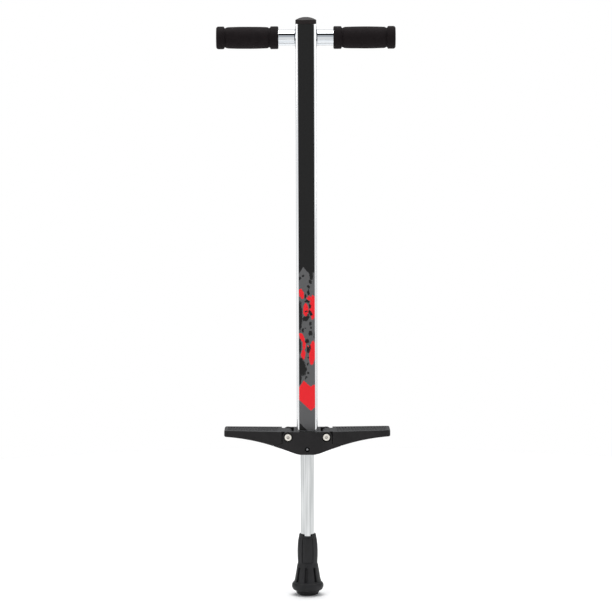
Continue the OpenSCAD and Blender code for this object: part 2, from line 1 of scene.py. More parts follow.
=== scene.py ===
# %% [markdown]
# # A pogo stick, dressed around its engineering model
#
# The engineering model already holds every piece at its true size. This lesson keeps its plain metal pieces as
# they are and gives them good finishes. It makes new meshes for the pieces whose look depends on soft rolls,
# rounded edges and moulded detail: the grips, the cap, the bracket, the footrests, the tip and the front strip.
# It also remakes the springs, which have to give way when the stick is used.

import json
from math import asin, cos, pi, radians, sin

import bmesh
import bpy
from mathutils import Matrix, Vector, noise


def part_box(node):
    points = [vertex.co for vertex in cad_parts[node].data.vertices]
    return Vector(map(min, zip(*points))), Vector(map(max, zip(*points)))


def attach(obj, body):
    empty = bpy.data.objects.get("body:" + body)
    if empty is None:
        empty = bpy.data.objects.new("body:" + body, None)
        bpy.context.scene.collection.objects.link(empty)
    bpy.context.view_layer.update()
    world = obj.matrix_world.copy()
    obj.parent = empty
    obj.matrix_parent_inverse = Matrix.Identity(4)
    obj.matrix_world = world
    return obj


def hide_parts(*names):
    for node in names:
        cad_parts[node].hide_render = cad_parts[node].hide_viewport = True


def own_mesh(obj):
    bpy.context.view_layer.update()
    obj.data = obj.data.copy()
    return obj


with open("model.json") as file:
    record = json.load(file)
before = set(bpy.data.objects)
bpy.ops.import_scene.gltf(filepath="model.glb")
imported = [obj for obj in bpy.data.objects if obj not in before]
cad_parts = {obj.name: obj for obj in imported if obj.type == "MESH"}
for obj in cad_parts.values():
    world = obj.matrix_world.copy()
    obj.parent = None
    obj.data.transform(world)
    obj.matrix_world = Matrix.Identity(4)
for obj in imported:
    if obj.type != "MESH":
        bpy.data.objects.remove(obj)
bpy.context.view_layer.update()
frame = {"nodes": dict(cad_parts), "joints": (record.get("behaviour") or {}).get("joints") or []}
cad_nodes = frame["nodes"]
MM = 0.001

# %% [markdown]
# ## The camera
#
# A tall thin object is best seen through a long lens from far away, because its lines then stay nearly
# parallel. The camera stands a little above the handlebar and tilts down until the stick fills the frame.
# Tilting it keeps the lens unshifted, so the same camera also works when it's moved to the side or the back.

# %% Camera
BAR_HEIGHT = sum(corner.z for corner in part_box("cross_tube")) / 2
CAMERA_PLACE = (-0.0014, -5.0, BAR_HEIGHT + 0.047)
CAMERA_TILT = radians(6.004)
CAMERA_ROLL = radians(0.2)
SENSOR = 36.0
LENS = 165.0

camera_data = bpy.data.cameras.new("camera")
camera_data.sensor_width = SENSOR
camera_data.lens = LENS
camera_data.clip_end = 100
camera = bpy.data.objects.new("camera", camera_data)
camera.location = CAMERA_PLACE
camera.rotation_mode = "XYZ"
camera.rotation_euler = (pi / 2 - CAMERA_TILT, 0, 0)
camera.rotation_euler.rotate_axis("Z", -CAMERA_ROLL)
bpy.context.scene.collection.objects.link(camera)
bpy.context.scene.camera = camera
print("camera at", [round(v, 3) for v in camera.location], "lens", LENS)

# %% [markdown]
# ## Studio light and floor
#
# A large soft lamp above and two weaker ones at the sides shape the black pieces. Large lamps give soft edges
# to light and shadow, as a cloudy sky does. The floor is a pale matt disc, and it isn't part of the object.
# What the bright metal reflects comes further down, with the room.

# %% Floor
FLOOR_RADIUS = 1.7

floor_mesh = bpy.data.meshes.new("floor")
floor_bm = bmesh.new()
bmesh.ops.create_circle(floor_bm, cap_ends=True, segments=64, radius=FLOOR_RADIUS)
floor_bm.to_mesh(floor_mesh)
floor_bm.free()
floor = bpy.data.objects.new("floor", floor_mesh)
bpy.context.scene.collection.objects.link(floor)


# %% Lamps
def soft_lamp(name, place, aim, size, watts):
    """A square area lamp that faces a point."""
    data = bpy.data.lights.new(name, "AREA")
    data.shape = "SQUARE"
    data.size = size
    data.energy = watts
    lamp = bpy.data.objects.new(name, data)
    lamp.location = place
    direction = Vector(aim) - Vector(place)
    lamp.rotation_euler = direction.to_track_quat("-Z", "Y").to_euler()
    bpy.context.scene.collection.objects.link(lamp)
    return lamp


middle = Vector((0, 0, BAR_HEIGHT / 2))
soft_lamp("overhead", (0, 0.4, 3.4), middle, 2.8, 92)
soft_lamp("left_side", (-2.6, -1.6, 1.6), middle, 1.6, 22)
soft_lamp("right_side", (2.6, -1.2, 1.3), middle, 1.6, 18)


# %% [markdown]
# ## Writing materials as sums
#
# A material is a small network of nodes, but a formula is easier to read. This class wraps one socket, so that
# Python's own operators add Math nodes, and a single method adds any other node.

# %% Shader helper
class Shade:
    """A value inside a material: a node socket that understands +, -, *, < and >."""

    def __init__(self, tree, socket=None):
        self.tree = tree
        self.socket = socket

    def node(self, kind, settings=None, inputs=None, out=0):
        """Adds a node: first its settings, then its sockets' values or links."""
        made = self.tree.nodes.new(kind)
        for name, value in (settings or {}).items():
            if name == "stops":
                ramp = made.color_ramp
                while len(ramp.elements) < len(value):
                    ramp.elements.new(0.5)
                for element, (position, colour) in zip(ramp.elements, value):
                    element.position = position
                    element.color = colour
            else:
                setattr(made, name, value)
        for name, value in (inputs or {}).items():
            if isinstance(value, Shade):
                self.tree.links.new(value.socket, made.inputs[name])
            else:
                made.inputs[name].default_value = value
        return Shade(self.tree, made.outputs[out])

    def math(self, operation, *others):
        """A Math node on this value and the others, in that order."""
        return self.node("ShaderNodeMath", {"operation": operation}, dict(enumerate((self, *others))))

    def __add__(self, other):
        return self.math("ADD", other)

    __radd__ = __add__

    def __sub__(self, other):
        return self.math("SUBTRACT", other)

    def __rsub__(self, other):
        return self * -1 + other

    def __mul__(self, other):
        return self.math("MULTIPLY", other)

    __rmul__ = __mul__

    def __gt__(self, other):
        return self.math("GREATER_THAN", other)

    def __lt__(self, other):
        return self.math("LESS_THAN", other)

    def between(self, low, high):
        """Goes from 0 at low to 1 at high, whichever of the two is the larger."""
        return self.node("ShaderNodeMapRange", {}, {"Value": self, "From Min": low, "From Max": high})

    def blend(self, first, second):
        """The first colour where this value is 0 and the second where it is 1."""
        return self.node("ShaderNodeMix", {"data_type": "RGBA"}, {0: self, 6: first, 7: second}, out=2)


# %% Material helper
class Finish:
    """A new material with one Principled shader and the usual sources of pattern."""

    def __init__(self, name, **fixed):
        self.material = bpy.data.materials.new(name)
        self.material.use_nodes = True
        self.tree = self.material.node_tree
        self.shader = self.tree.nodes["Principled BSDF"]
        self.start = Shade(self.tree)
        self.place = self.start.node("ShaderNodeTexCoord", out="Object")
        for name, value in fixed.items():
            self.shader.inputs[name.replace("_", " ").title().replace("Ior", "IOR")].default_value = value

    def link(self, name, value):
        self.tree.links.new(value.socket, self.shader.inputs[name])

    def scaled(self, x, y, z):
        """The object's own coordinates, stretched along each axis."""
        return self.start.node("ShaderNodeMapping", {"vector_type": "POINT"},
                               {"Vector": self.place, "Scale": (x, y, z)})

    def axis(self, name):
        """One object coordinate in millimetres."""
        parts = self.start.node("ShaderNodeSeparateXYZ", {}, {"Vector": self.place}, out=name)
        return parts * (1 / MM)

    def cloud(self, per_metre, detail=3.0, vector=None):
        """Soft noise with about this many lumps to the metre."""
        return self.start.node("ShaderNodeTexNoise", {},
                               {"Vector": vector or self.place, "Scale": per_metre, "Detail": detail})

    def cells(self, per_metre):
        """Distance to scattered points, for pores."""
        return self.start.node("ShaderNodeTexVoronoi", {}, {"Vector": self.place, "Scale": per_metre})

    def bump(self, height, depth, strength=1.0):
        """Feeds a height in metres of relief to the surface's normal."""
        self.link("Normal", self.start.node("ShaderNodeBump", {},
                                            {"Height": height, "Distance": depth, "Strength": strength}))


print("helpers ready")

# %% [markdown]
# ## The room's light
#
# Bright metal only looks like metal when it has something to reflect, and that is the world's work. It is a
# material too. Its brightness depends mostly on how high one looks: white near and below the horizon, grey
# above it, a dark belt in front, and a bright ceiling. The belt draws the thin dark line along the top of a
# polished bar. The grey is darker at the sides, which gives round black shapes a bright middle and dark flanks.
# A few dark strips stand round the room, and polished tubes draw them as thin dark lines along their length.
# Behind the object the room is plain white, which the Light Path node arranges: a ray that comes straight from
# the eye sees white, and every other ray sees the room.

# %% World
world = bpy.data.worlds.new("studio")
bpy.context.scene.world = world
world.use_nodes = True
sky = Shade(world.node_tree)
look = sky.node("ShaderNodeTexCoord", out="Generated")
to_right, to_back, upward = (
    sky.node("ShaderNodeSeparateXYZ", {}, {"Vector": look}, out=axis) for axis in "XYZ")
to_a_side = to_right.math("ABSOLUTE")
HAZE = (0.6, 0.62, 0.65, 1)
CEILING = (1.25, 1.25, 1.25, 1)
WHITE = (1, 1, 1, 1)
BLACK = (0, 0, 0, 1)
tone = sky.node("ShaderNodeValToRGB", {"stops": [
    (0.0, WHITE), (0.1, WHITE), (0.2, HAZE), (0.64, HAZE), (0.78, CEILING),
]}, {"Fac": upward})
in_front = (to_back < 0) * (to_a_side < 0.3)
belt = upward.between(0.58, 0.61) * upward.between(0.89, 0.86) * in_front
flank = to_a_side.between(0.25, 0.75) * upward.between(0.1, 0.22)

# Each strip: its bearing from the front and half its width, in degrees
STRIPS = [(-21, 2.2), (33, 2.4), (66, 3), (-114, 9), (114, 9), (-171, 5), (180, 3), (168, 6)]
STRIP_BLUR = 1.5
round_the_room = to_right.math("ARCTAN2", 0 - to_back) * (180 / pi)
strips = None
for bearing, half_width in STRIPS:
    off = (round_the_room - bearing).math("ABSOLUTE")
    strip = off.between(half_width + STRIP_BLUR, half_width)
    strips = strips.math("MAXIMUM", strip) if strips else strip
FLANK_DARKNESS, STRIP_DARKNESS = 0.7, 0.5
shade = belt.math("MAXIMUM", flank * FLANK_DARKNESS + strips * (upward < 0.1) * STRIP_DARKNESS)
seen_directly = sky.node("ShaderNodeLightPath", out="Is Camera Ray")
room = seen_directly.blend(shade.blend(tone, BLACK), WHITE)
backdrop = world.node_tree.nodes["Background"]
world.node_tree.links.new(room.socket, backdrop.inputs["Color"])
bpy.context.scene.view_settings.view_transform = "Standard"


# %% Floor finish
def floor_finish():
    paper = Finish("pale_floor", roughness=0.95, specular_ior_level=0.0)
    grain = paper.cloud(3.0)
    paper.link("Base Color", grain.blend((0.94, 0.94, 0.94, 1), (0.96, 0.96, 0.96, 1)))
    return paper.material


floor.data.materials.append(floor_finish())


# %% [markdown]
# ## Metals
#
# The square tube and the cross tube are bright anodised aluminium. Extruding leaves faint lines along a
# tube's length, so the noise that varies the roughness is stretched that way. The shaft and the handle tubes
# are plated steel, smoother and a little cooler. Fasteners are zinc plated, which is warmer and duller.

# %% Metal finishes
# How tightly the noise is packed across the metal, for its lines and for its bands, and along it
FINE_ACROSS, BROAD_ACROSS, ALONG = 60.0, 18.0, 0.6


def drawn_metal(name, colour, darker, rough, along):
    """Metal with fine lines and broad bands along one axis."""
    metal = Finish(name, metallic=1.0)
    fine, broad = (metal.scaled(*(ALONG if letter == along else across for letter in "XYZ"))
                   for across in (FINE_ACROSS, BROAD_ACROSS))
    lines = metal.cloud(14.0, 4.0, fine)
    bands = metal.cloud(14.0, 1.0, broad)
    metal.link("Base Color", (lines * 0.35 + bands * 0.65).between(0.38, 0.6).blend(darker, colour))
    metal.link("Roughness", lines * rough * 0.4 + bands * rough * 0.4 + rough * 0.6)
    metal.bump(lines, 0.000002, 0.4)
    return metal.material


# Painted shade: the dull dark tone that stands for the shade inside the bolts' hex sockets
SOCKET_SHADE = (0.42, 0.4, 0.37, 1)


def zinc_plate(name, colour, darker, rough, sockets=()):
    """Plated fasteners: slightly mottled, with painted shade within 3 mm of the sockets at the given places."""
    zinc = Finish(name, metallic=1.0)
    mottle = zinc.cloud(420.0, 3.0)
    plating = mottle.between(0.3, 0.7).blend(darker, colour)
    # Painted shade: within about 3 mm of each socket the plating turns to the dark socket tone
    for across, up in sockets:
        aside = zinc.axis("X") - across
        above = zinc.axis("Z") - up
        plating = (aside * aside + above * above).between(7.5, 9.5).blend(SOCKET_SHADE, plating)
    zinc.link("Base Color", plating)
    zinc.link("Roughness", mottle * 0.2 + (rough - 0.1))
    zinc.bump(zinc.cloud(2200.0, 2.0), 0.00002, 0.5)
    return zinc.material


upright_metal = drawn_metal("anodised_upright", (0.87, 0.88, 0.89, 1), (0.77, 0.78, 0.8, 1), 0.12, "Z")
cross_metal = drawn_metal("polished_cross", (0.7, 0.72, 0.74, 1), (0.55, 0.58, 0.61, 1), 0.035, "X")
plated_shaft = drawn_metal("plated_shaft", (0.62, 0.63, 0.63, 1), (0.4, 0.41, 0.41, 1), 0.055, "Z")
plated_handle = drawn_metal("plated_handle", (0.8, 0.81, 0.82, 1), (0.66, 0.67, 0.69, 1), 0.12, "X")
hinge_axes = [tuple(sum(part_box(side + "_pivot_bolt"), Vector()) / 2 / MM)[::2] for side in ("left", "right")]
zinc_head = zinc_plate("zinc_head", (0.78, 0.75, 0.69, 1), (0.6, 0.57, 0.51, 1), 0.3, hinge_axes)
zinc_dark = zinc_plate("zinc_dark", (0.62, 0.62, 0.63, 1), (0.45, 0.45, 0.46, 1), 0.38)
black_oxide = zinc_plate("black_oxide", (0.3, 0.3, 0.31, 1), (0.14, 0.14, 0.15, 1), 0.25)
spring_wire = zinc_plate("spring_wire", (0.35, 0.36, 0.38, 1), (0.22, 0.23, 0.25, 1), 0.35)
print("metals:", [m.name for m in bpy.data.materials])


# %% [markdown]
# ## Plastics, rubber and foam
#
# All of them are nearly black, so they differ by surface and not by colour. Moulded nylon has a fine spark
# texture with a slight sheen. Rubber is smoother in grain but duller. Foam is full of small pores and scatters
# almost all its light.

# %% Soft and moulded finishes
def moulded_plastic(name, colour, lighter, rough, grain):
    plastic = Finish(name, specular_ior_level=0.2)
    patches = plastic.cloud(35.0, 4.0)
    texture = plastic.cloud(grain, 2.0)
    plastic.link("Base Color", patches.between(0.35, 0.7).blend(colour, lighter))
    plastic.link("Roughness", patches * 0.16 + texture * 0.1 + (rough - 0.13))
    plastic.bump(texture, 0.00006, 0.55)
    return plastic.material


def moulded_rubber(name):
    rubber = Finish(name, specular_ior_level=0.3)
    bloom = rubber.cloud(60.0, 4.0)
    fine = rubber.cloud(1500.0, 2.0)
    rubber.link("Base Color", bloom.between(0.35, 0.75).blend(
        (0.0055, 0.0055, 0.006, 1), (0.0105, 0.0105, 0.012, 1)))
    rubber.link("Roughness", bloom * 0.2 + 0.42)
    rubber.bump(fine * 0.6 + bloom * 0.4, 0.00008, 0.5)
    return rubber.material


def closed_foam(name):
    foam = Finish(name, specular_ior_level=0.12)
    pores = foam.cells(1500.0)
    skin = foam.cloud(90.0, 4.0)
    open_pore = pores.between(0.25, 0.0)
    foam.link("Base Color", (open_pore * 0.5 + skin * 0.5).between(0.2, 0.8).blend(
        (0.0085, 0.006, 0.0066, 1), (0.004, 0.003, 0.0034, 1)))
    foam.link("Roughness", skin * 0.15 + 0.78)
    foam.bump(pores * 0.7 + skin * 0.6, 0.00025, 0.6)
    return foam.material


def nylon(name, colour, darker):
    white = Finish(name)
    wax = white.cloud(120.0, 3.0)
    white.link("Base Color", wax.between(0.3, 0.7).blend(darker, colour))
    white.link("Roughness", wax * 0.15 + 0.35)
    white.bump(wax, 0.00003, 0.4)
    return white.material


black_nylon = moulded_plastic(
    "black_nylon", (0.007, 0.0065, 0.0068, 1), (0.012, 0.011, 0.0115, 1), 0.47, 1300.0)
cap_plastic = moulded_plastic("cap_plastic", (0.009, 0.006, 0.006, 1), (0.013, 0.009, 0.009, 1), 0.55, 1600.0)
tip_rubber = moulded_rubber("tip_rubber")
grip_foam = closed_foam("grip_foam")
white_nylon = nylon("white_nylon", (0.78, 0.78, 0.74, 1), (0.7, 0.7, 0.66, 1))
print("materials:", len(bpy.data.materials))


# %% [markdown]
# ## Finishing the pieces that keep their engineering shape
#
# These pieces are plain turned, drawn or pressed metal, or they sit inside the stick. Their meshes are right
# already, so each one only takes a material.

# %% Hand out materials to the engineering pieces
KEPT = {
    upright_metal: ["main_tube"],
    cross_metal: ["cross_tube"],
    plated_shaft: ["shaft"],
    plated_handle: ["left_handle_tube", "right_handle_tube"],
    zinc_head: ["left_pivot_bolt", "right_pivot_bolt", "left_snap_button", "right_snap_button"],
    zinc_dark: ["left_pivot_nut", "right_pivot_nut", "spring_stop_pin", "stop_washer", "stop_pin",
                "tip_washer"],
    white_nylon: ["lower_guide_bush", "plunger_head", "spring_stop", "pivot_washers", "left_pedal_bushings",
                  "right_pedal_bushings"],
    tip_rubber: ["rebound_bumper"],
    black_nylon: ["left_grip_plug", "right_grip_plug"],
}
for material, names in KEPT.items():
    for name in names:
        mesh = cad_nodes[name].data
        mesh.materials.clear()
        mesh.materials.append(material)
print("kept pieces:", sum(len(names) for names in KEPT.values()))


# %% [markdown]
# ## Helpers for new pieces
#
# Every new piece is made in one bmesh and then given its body and its material, and the engineering pieces that
# it stands for are hidden. Its object stays at the origin, and its place is in its mesh. Round shapes are
# turned
# on a lathe: a few points of a profile, spun about an axis.

# %% Modelling helpers
def finish_piece(name, bm, material, body, replaced, sharp=35):
    """Turns a bmesh into a finished piece that rides on a body."""
    bmesh.ops.remove_doubles(bm, verts=bm.verts, dist=0.00001)
    bmesh.ops.recalc_face_normals(bm, faces=bm.faces)
    mesh = bpy.data.meshes.new(name)
    bm.to_mesh(mesh)
    bm.free()
    mesh.shade_smooth()
    mesh.set_sharp_from_angle(angle=radians(sharp))
    mesh.materials.append(material)
    piece = bpy.data.objects.new(name, mesh)
    bpy.context.scene.collection.objects.link(piece)
    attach(piece, body)
    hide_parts(*replaced)
    print(name, len(mesh.polygons), "faces")
    return piece


def round_edges(piece, width, segments=2, angle=30):
    """Rounds every edge sharper than the angle, as moulded and filed edges are."""
    modifier = piece.modifiers.new("rounded_edges", "BEVEL")
    modifier.width = width
    modifier.segments = segments
    modifier.limit_method = "ANGLE"
    modifier.angle_limit = radians(angle)
    modifier.harden_normals = True
    return piece


def arc(centre, radius, start, end, steps):
    """Points of an arc, in degrees, both ends included."""
    angles = [radians(start + (end - start) * i / steps) for i in range(steps + 1)]
    return [(centre[0] + radius * cos(a), centre[1] + radius * sin(a)) for a in angles]


def turned(bm, points, centre, axis, steps=64):
    """Spins a line of points a full turn about an axis."""
    verts = [bm.verts.new(p) for p in points]
    edges = [bm.edges.new(pair) for pair in zip(verts, verts[1:])]
    bmesh.ops.spin(bm, geom=verts + edges, cent=centre, axis=axis, angle=2 * pi, steps=steps, use_merge=True)
    bmesh.ops.remove_doubles(bm, verts=bm.verts, dist=0.00001)


def rounded_square(bm, width, corner, z, segments=6):
    """A flat square face with round corners, facing up."""
    made = bmesh.ops.create_grid(bm, x_segments=1, y_segments=1, size=width / 2,
                                 matrix=Matrix.Translation((0, 0, z)))
    bmesh.ops.bevel(bm, geom=made["verts"], offset=corner, segments=segments, profile=0.5,
                    affect="VERTICES", material=-1)
    bm.faces.ensure_lookup_table()
    return bm.faces[-1]


# %% [markdown]
# ## The printed strip
#
# The tube's flat front carries a thin printed strip: black for most of its length, and below the middle a
# ragged paint pattern in grey and red. The strip is a real sheet a third of a millimetre thick. The pattern
# is worked out from the strip's own coordinates: noise pushes them about, so straight borders and plain
# ellipses turn into torn edges and splashes.

# %% Strip finish
BLACK_INK = (0.0065, 0.0065, 0.0065, 1)
GREY_INK = (0.098, 0.098, 0.1, 1)
RED_INK = (0.74, 0.013, 0.02, 1)

# Each blot: centre across and up in mm, half its width, half its height, and a turn in degrees
RED_BLOTS = [
    (-9.5, 549, 4.2, 9.5, 15), (-1.9, 520, 4.6, 11.5, 0), (11, 525, 5.6, 22, 0), (4.6, 541, 5, 3, 0),
    (-9, 471, 3.6, 9, 25), (-5, 457, 3, 9, 0), (-6.6, 440, 4, 9, 0), (9.8, 443, 5.6, 22, -4),
    (2, 454, 1.6, 2.4, 0),
]
BLACK_BLOTS = [
    (8.2, 581, 3.2, 9, 0), (6.2, 570, 2.6, 5, 20), (2.9, 561, 2.6, 4, 30), (3, 550, 2.2, 6, 0),
    (-6.4, 581, 2, 2.2, 0), (-12.5, 577, 2.4, 3.4, 0), (0.5, 535.5, 5, 2.8, 0), (-2.4, 545, 1.8, 4.6, 0),
    (5.9, 527, 1.8, 4.6, 0), (-1.6, 517.5, 2.4, 2, 0), (4.5, 516, 2.6, 3.6, 0), (8, 512, 2.4, 3.6, 0),
    (1.8, 507.5, 3.4, 3.4, 0), (-12.6, 509, 4.6, 27, 0), (-3, 504, 5, 3.6, 0), (6.6, 495, 2.2, 3.8, 0),
    (7.3, 488, 1.8, 2, 0), (-2.9, 487.4, 1, 1.2, 0), (6.6, 478, 3.8, 4.2, 0), (-7.2, 483, 1.8, 3.6, 0),
    (13.6, 474, 1.4, 5, 0), (-13, 456, 3, 13, 0), (0.4, 463.5, 4.2, 3.8, 0), (2.6, 448.5, 3, 6, 0),
    (5.6, 453.5, 1.6, 4, 0), (2.5, 434, 1.4, 2, 0), (1.2, 422.5, 1.7, 2.2, 0), (-9.8, 417, 7.6, 17, 8),
    (-12.8, 396, 3, 12, 0), (2.4, 405.5, 2, 2.6, 0), (-1.2, 397.8, 2.4, 1.4, 0), (-3, 412, 3, 5, 0),
]


def printed_strip():
    vinyl = Finish("printed_strip", specular_ior_level=0.2)
    x = vinyl.axis("X")
    z = vinyl.axis("Z")
    wobble = vinyl.cloud(260.0, 2.0) - 0.5
    tear = vinyl.cloud(900.0, 2.0) - 0.5
    drip = vinyl.cloud(240.0, 2.0) - 0.5
    spot = vinyl.start.node("ShaderNodeCombineXYZ", {}, {"X": x + wobble * 4 + tear * 2, "Y": z + drip * 9})

    def level(slope, ragged):
        """Height along a slanting direction, in mm, with a ragged edge."""
        return z + x * slope + wobble * ragged

    def nearest(blots):
        """Below 1 inside any of the blots."""
        best = None
        for across, up, half_width, half_height, turn in blots:
            local = vinyl.start.node("ShaderNodeMapping", {"vector_type": "TEXTURE"}, {
                "Vector": spot, "Location": (across, up, 0), "Rotation": (0, 0, radians(turn)),
                "Scale": (half_width, half_height, 1)})
            reach = vinyl.start.node("ShaderNodeVectorMath", {"operation": "LENGTH"}, {0: local}, out="Value")
            best = best.math("MINIMUM", reach) if best else reach
        return best

    above = (level(1.2, 7) > 589.6).math("MAXIMUM", z - x * 1.6 > 607)
    sky_black = above * (1 - (x > 10.6) * (z < 587))
    reds = nearest(RED_BLOTS) < 1
    splashes = nearest(BLACK_BLOTS) + tear * 0.9 < 1
    below_peak = (level(-1.5, 3) < 401.6) * (level(0.87, 3) < 387.4)
    right_shoulder = (level(-0.75, 3) < 376.6) * (z < 385.2) * (x > 2)
    block_top = below_peak.math("MAXIMUM", right_shoulder)
    block = block_top * (level(0.94, 2) > 344.6) * (level(-0.84, 2) > 332.6)
    corner = level(0.95, 3) < 303
    ground = sky_black.blend(GREY_INK, BLACK_INK)
    inked = splashes.blend(reds.blend(ground, RED_INK), BLACK_INK)
    blocked = block.blend(inked, RED_INK)
    vinyl.link("Base Color", corner.blend(blocked, BLACK_INK))
    satin = vinyl.cloud(25.0, 3.0)
    vinyl.link("Roughness", satin * 0.15 + 0.28)
    vinyl.bump(satin, 0.00004, 0.3)
    return vinyl.material


# %% Strip piece
def front_strip():
    """A thin sheet with round corners, which ends under the cap's skirt."""
    low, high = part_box("front_decal")
    high.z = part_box("main_tube")[1].z
    size = high - low
    bm = bmesh.new()
    bmesh.ops.create_cube(bm, size=1, matrix=Matrix.Translation((low + high) / 2) @ Matrix.Diagonal((*size, 1)))
    corners = [e for e in bm.edges if abs((e.verts[0].co - e.verts[1].co).y) > size.y / 2]
    bmesh.ops.bevel(bm, geom=corners, offset=1.2 * MM, segments=4, profile=0.5, affect="EDGES", material=-1)
    return finish_piece("front_strip", bm, printed_strip(), "frame", ["front_decal"])


front_strip()


# %% [markdown]
# ## The top cap
#
# A moulded plug closes the tube. Its crown is a low pillow: the top face is extruded again and again, each
# time made smaller, and each ring is lifted a little less than the last, along a curve.

# %% Cap piece
def top_cap():
    low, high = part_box("top_cap")
    tube_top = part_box("main_tube")[1].z
    width = high.x - low.x
    crown = 5.2 * MM
    shoulder = high.z - crown
    rings = 9
    bm = bmesh.new()
    face = rounded_square(bm, width, 4.2 * MM, tube_top)
    made = bmesh.ops.extrude_face_region(bm, geom=[face])
    top = [f for f in made["geom"] if isinstance(f, bmesh.types.BMFace)][0]
    bmesh.ops.translate(bm, verts=top.verts, vec=(0, 0, shoulder - tube_top))
    before = 1
    for i in range(1, rings):
        span = 1 - i / rings
        made = bmesh.ops.extrude_face_region(bm, geom=[top])
        top = [f for f in made["geom"] if isinstance(f, bmesh.types.BMFace)][0]
        height_now = shoulder + crown * (1 - span ** 2.2)
        bmesh.ops.scale(bm, verts=top.verts, vec=(span / before, span / before, 1))
        bmesh.ops.translate(bm, verts=top.verts, vec=(0, 0, height_now - top.verts[0].co.z))
        before = span
    return round_edges(
        finish_piece("crowned_cap", bm, cap_plastic, "frame", ["top_cap"], sharp=40),
        0.9 * MM, 3, 38)


top_cap()


# %% [markdown]
# ## The foam grips
#
# Each grip is a tube of closed-cell foam with a roll at each end and a barrel between them. It is turned like
# a baluster, and then every point is moved a fraction of a millimetre by smooth noise, because cut foam is
# never quite true. The outer end is closed, with a small vent.

# %% Grip pieces
def grip_profile(length):
    """Distances along the grip and radii, from the inner end to the outer end."""
    flange, waist, shoulder, barrel = 20.2 * MM, 17.3 * MM, 18.9 * MM, 19.6 * MM
    roll, neck, vent = 14.6 * MM, 17.6 * MM, 2.4 * MM
    edge = 2.2 * MM
    start = neck + 3.6 * MM
    half = length / 2 - start
    sweep = (half * half + (barrel - shoulder) ** 2) / (2 * (barrel - shoulder))
    turns = [asin(half / sweep) * i / 8 for i in range(-8, 9)]
    body = [(length / 2 + sweep * sin(turn), barrel - sweep * (1 - cos(turn))) for turn in turns]
    swell = [(neck - 0.6 * MM, waist), (neck + 0.2 * MM, waist + 0.7 * MM),
             (neck + 1.4 * MM, waist + 1.25 * MM)]
    return (
        [(0, 12.6 * MM), (0, flange - edge - 1.5 * MM)]
        + arc((edge, flange - edge), edge, 180, 90, 5)
        + arc((roll - edge, flange - edge), edge, 90, 0, 5)
        + [(roll + 0.5 * MM, waist)] + swell + body
        + [(length - s, r) for s, r in reversed(swell)] + [(length - roll - 0.5 * MM, waist)]
        + arc((length - roll + edge, flange - edge), edge, 180, 90, 5)
        + arc((length - 2 * edge, flange - 2 * edge), 2 * edge, 90, 20, 7)
        + [(length - 0.3 * MM, 11 * MM), (length, 6 * MM), (length, vent + 0.5 * MM),
           (length - 0.6 * MM, vent), (length - 3 * MM, vent)]
    )


def foam_grip(side_name, side):
    low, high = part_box(side_name + "_grip")
    inner = high.x if side < 0 else low.x
    length = high.x - low.x
    axis_z = (low.z + high.z) / 2
    bm = bmesh.new()
    points = [(inner + side * s, 0, axis_z + r) for s, r in grip_profile(length)]
    turned(bm, points, (0, 0, axis_z), (1, 0, 0), 72)
    bm.normal_update()
    for vert in bm.verts:
        spread = 0.12 * MM * noise.noise(vert.co * 60) + 0.05 * MM * noise.noise(vert.co * 240)
        radial = Vector((0, vert.co.y, vert.co.z - axis_z))
        if radial.length > 14 * MM:
            vert.co += radial.normalized() * (spread - 0.05 * MM)
    grip = finish_piece(side_name + "_foam_grip", bm, grip_foam, side_name + "_handle",
                        [side_name + "_grip"], sharp=60)
    return grip


foam_grip("left", -1)
foam_grip("right", 1)


# %% [markdown]
# ## Bracket and footrests
#
# The bracket and footrests are hollow nylon mouldings with many flat walls. Their engineering meshes have the
# right shape, but every edge is knife sharp, and real mouldings never are: the thin bright line along a
# rounded edge is what makes black plastic readable. So each is copied, its loose triangles are joined back
# into whole faces, and the edges are rounded.

# %% Mouldings with rounded edges
def softened(name, node, material, body, width):
    """A copy of an engineering mesh with whole faces and rounded edges."""
    bm = bmesh.new()
    bm.from_mesh(cad_nodes[node].data)
    bmesh.ops.remove_doubles(bm, verts=bm.verts, dist=0.00002)
    bmesh.ops.dissolve_limit(bm, angle_limit=radians(1), verts=bm.verts, edges=bm.edges)
    return round_edges(finish_piece(name, bm, material, body, [node], sharp=28), width, 2, 28)


def bracket_screw(name, face, inward):
    """A domed screw head with a small socket, turned from its radii and depths below the face."""
    low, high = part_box("bracket_screws")
    height = (low.z + high.z) / 2
    radius = (high.x - low.x) / 2 / MM
    dome, under_head, shank, end = 2.1, 3.2, 2.3, 9
    socket = [(0, 1.5), (0.9, 1.5), (1, 0.25)]
    head = [(radius * sin(radians(a)), dome * (1 - cos(radians(a)))) for a in (24, 36, 48, 60, 72, 84, 90)]
    stem = [(radius, under_head), (shank, under_head), (shank, end), (0, end)]
    bm = bmesh.new()
    points = [(r * MM, face + inward * depth * MM, height) for r, depth in socket + head + stem]
    turned(bm, points, (0, 0, height), (0, 1, 0), 32)
    return finish_piece(name, bm, black_oxide, "frame", ["bracket_screws"], sharp=40)


screw_low, screw_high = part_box("bracket_screws")
bracket_screw("front_bracket_screw", screw_low.y, 1)
bracket_screw("rear_bracket_screw", screw_high.y, -1)
softened("footrest_bracket", "pedal_bracket", black_nylon, "frame", 0.7 * MM)
for footrest, node in (("left_footrest", "left_pedal"), ("right_footrest", "right_pedal")):
    softened(footrest, node, black_nylon, footrest, 0.4 * MM)


# %% [markdown]
# ## The rubber tip
#
# The tip is turned first, with rings of faces exactly where its details begin and end. The details are then
# pressed in: a patch of faces is chosen by its height and its angle round the tip, and inset with a negative
# depth. That makes the grooves round the four long panels on the sleeve, and the eight slots on the flare.
# Two pairs of close cuts give the notch in the collar its upright sides.

# %% Tip piece
TIP_STEPS = 96
INSIDE_TIP = 13.5 * MM
NOTCH_CUTS = (-7.5, -7.4, 7.4, 7.5)
NOTCH_HALF = 7.45 * MM


